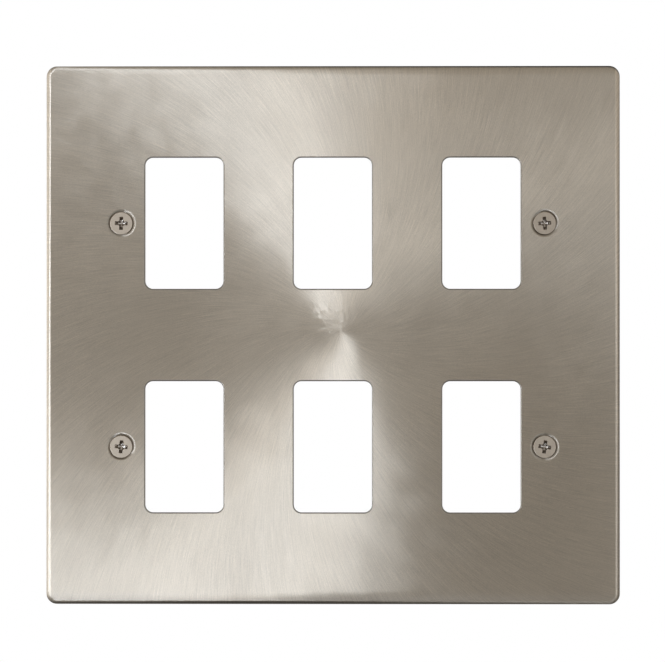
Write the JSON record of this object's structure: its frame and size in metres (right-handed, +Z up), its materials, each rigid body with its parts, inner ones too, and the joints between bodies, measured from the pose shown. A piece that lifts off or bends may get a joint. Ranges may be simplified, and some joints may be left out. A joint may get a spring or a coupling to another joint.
{
  "type": "grid switch plate",
  "caption": "Two tier grid switch front plate in brushed nickel, a pressed sheet with rounded edges, module apertures and countersunk fixing screws.",
  "frame": {"origin": "middle of the plate, in the plane of its rear rim, where it meets the wall", "axes": "+X to the right across the columns, +Z up, +Y into the wall along the screws, finished face towards -Y"},
  "size_m": [0.146, 0.0122, 0.137],
  "materials": {
    "brushed_nickel": "satin nickel plate, brushed in swirls from the middle",
    "nickel_screw": "satin nickel plated steel"
  },
  "bodies": {
    "root": {"front_plate": "brushed_nickel", "screw_top_left": "nickel_screw", "screw_top_right": "nickel_screw", "screw_bottom_left": "nickel_screw", "screw_bottom_right": "nickel_screw"}
  },
  "joints": []
}
